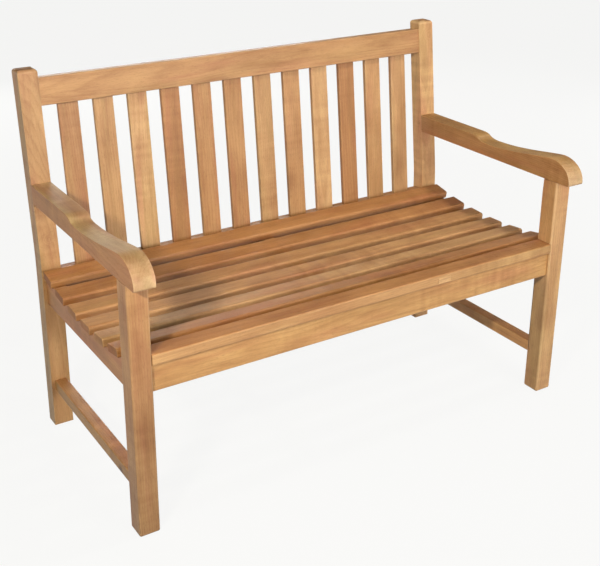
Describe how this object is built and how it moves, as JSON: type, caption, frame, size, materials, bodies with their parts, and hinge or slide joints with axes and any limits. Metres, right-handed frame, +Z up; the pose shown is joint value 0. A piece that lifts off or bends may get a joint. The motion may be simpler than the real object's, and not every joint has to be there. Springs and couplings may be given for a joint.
{
  "type": "garden bench",
  "caption": "Two-seat teak garden bench with slatted back, dished slatted seat, shaped armrests and side stretchers.",
  "frame": {"origin": "on the ground in the middle of the bench's outline", "axes": "+X along the bench to the right of a person looking at its front, +Y from the front to the back, +Z up"},
  "size_m": [1.2, 0.645, 0.9],
  "materials": {
    "leg_teak": "sanded and lightly oiled teak, satin",
    "arm_teak": "sanded and lightly oiled teak, satin",
    "rail_teak": "sanded and lightly oiled teak, satin",
    "back_slat_teak": "sanded and lightly oiled teak, satin",
    "seat_teak": "sanded and lightly oiled teak, satin",
    "plate_wood": "thin blank plate of pale wood, satin",
    "peg_teak": "end grain of a round teak peg, satin"
  },
  "bodies": {
    "root": {"armrest_left": "arm_teak", "armrest_right": "arm_teak", "back_slat_01": "back_slat_teak", "back_slat_02": "back_slat_teak", "back_slat_03": "back_slat_teak", "back_slat_04": "back_slat_teak", "back_slat_05": "back_slat_teak", "back_slat_06": "back_slat_teak", "back_slat_07": "back_slat_teak", "back_slat_08": "back_slat_teak", "back_slat_09": "back_slat_teak", "back_slat_10": "back_slat_teak", "back_slat_11": "back_slat_teak", "back_slat_12": "back_slat_teak", "blank_front_plate": "plate_wood", "centre_seat_bearer": "rail_teak", "front_apron": "rail_teak", "front_leg_left": "leg_teak", "front_leg_right": "leg_teak", "lower_back_rail": "rail_teak", "peg_arm_front_left": "peg_teak", "peg_arm_front_right": "peg_teak", "peg_arm_rear_left": "peg_teak", "peg_arm_rear_right": "peg_teak", "peg_front_stretcher_left": "peg_teak", "peg_front_stretcher_right": "peg_teak", "peg_lower_rail_left": "peg_teak", "peg_lower_rail_right": "peg_teak", "peg_rear_stretcher_left": "peg_teak", "peg_rear_stretcher_right": "peg_teak", "peg_side_rail_left": "peg_teak", "peg_side_rail_right": "peg_teak", "peg_top_rail_left_1": "peg_teak", "peg_top_rail_left_2": "peg_teak", "peg_top_rail_right_1": "peg_teak", "peg_top_rail_right_2": "peg_teak", "rear_leg_left": "leg_teak", "rear_leg_right": "leg_teak", "seat_board_dowel_1": "peg_teak", "seat_board_dowel_2": "peg_teak", "seat_board_dowel_3": "peg_teak", "seat_front_board": "seat_teak", "seat_slat_1": "seat_teak", "seat_slat_2": "seat_teak", "seat_slat_3": "seat_teak", "seat_slat_4": "seat_teak", "seat_slat_5": "seat_teak", "seat_slat_6": "seat_teak", "side_seat_rail_left": "rail_teak", "side_seat_rail_right": "rail_teak", "side_stretcher_left": "rail_teak", "side_stretcher_right": "rail_teak", "top_back_rail": "rail_teak"}
  },
  "joints": []
}
